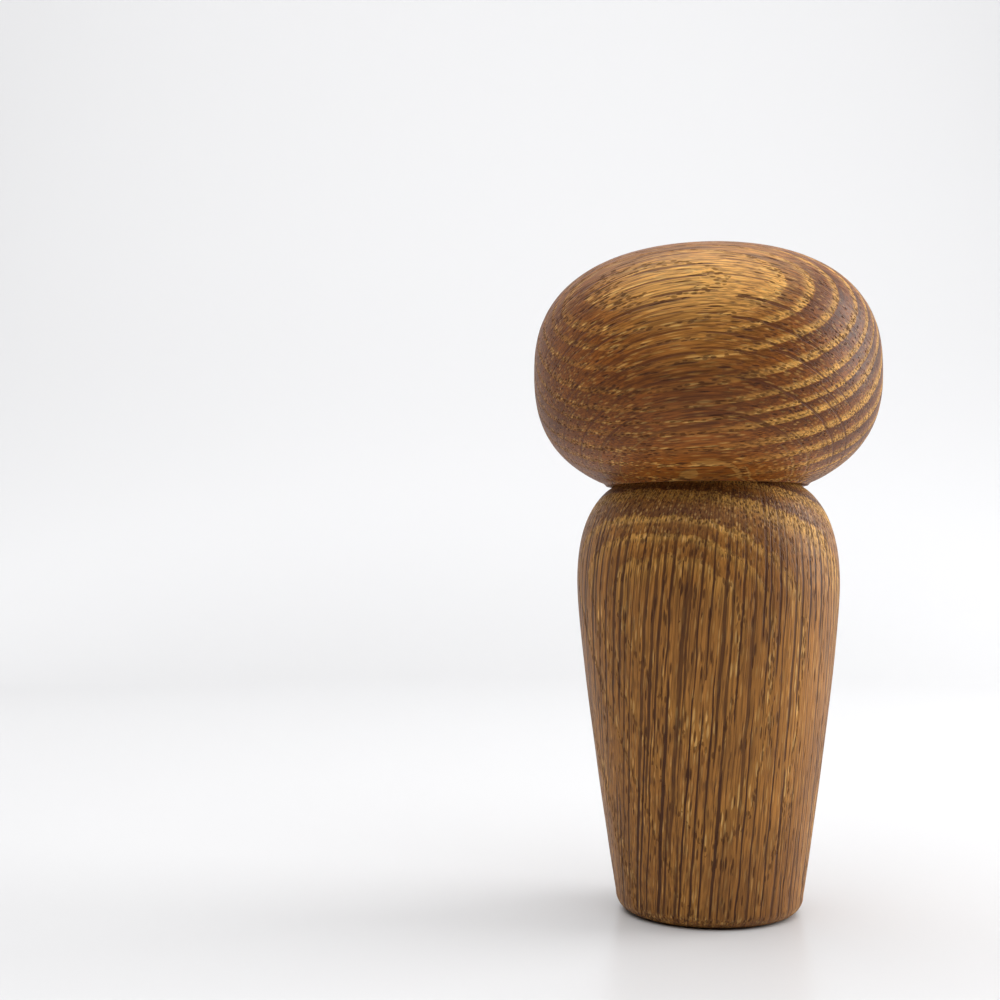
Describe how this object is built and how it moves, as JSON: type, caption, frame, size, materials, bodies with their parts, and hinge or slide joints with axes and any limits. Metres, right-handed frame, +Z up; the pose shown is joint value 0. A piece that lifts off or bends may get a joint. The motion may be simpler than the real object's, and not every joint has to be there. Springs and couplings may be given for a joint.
{
  "type": "kokeshi doll",
  "caption": "Turned oak doll: a broad rounded head turns and lifts off on a loose peg in the flat top of a tapered body.",
  "frame": {"origin": "centre of the foot, on the surface that the doll stands on", "axes": "+Z up along the turning axis, from the foot to the top of the head; -Y is the side that faces the viewer, and the grain of the head runs roughly along X"},
  "size_m": [0.066, 0.066, 0.1255],
  "materials": {
    "oak_body": "satin",
    "oak_head": "satin",
    "peg_beech": "satin",
    "ring_rubber": "matte"
  },
  "bodies": {
    "body": {"body": "oak_body"},
    "neck": {"neck_peg": "peg_beech", "peg_ring_lower": "ring_rubber", "peg_ring_upper": "ring_rubber"},
    "head": {"head": "oak_head"}
  },
  "joints": [
    {"name": "head_lift", "type": "slide", "parent": "body", "child": "neck", "axis": [0, 0, 1], "range_m": [0, 0.032]},
    {"name": "head_turn", "type": "hinge", "parent": "neck", "child": "head", "pos_m": [0, 0, 0.08], "axis": [0, 0, 1], "continuous": true}
  ]
}
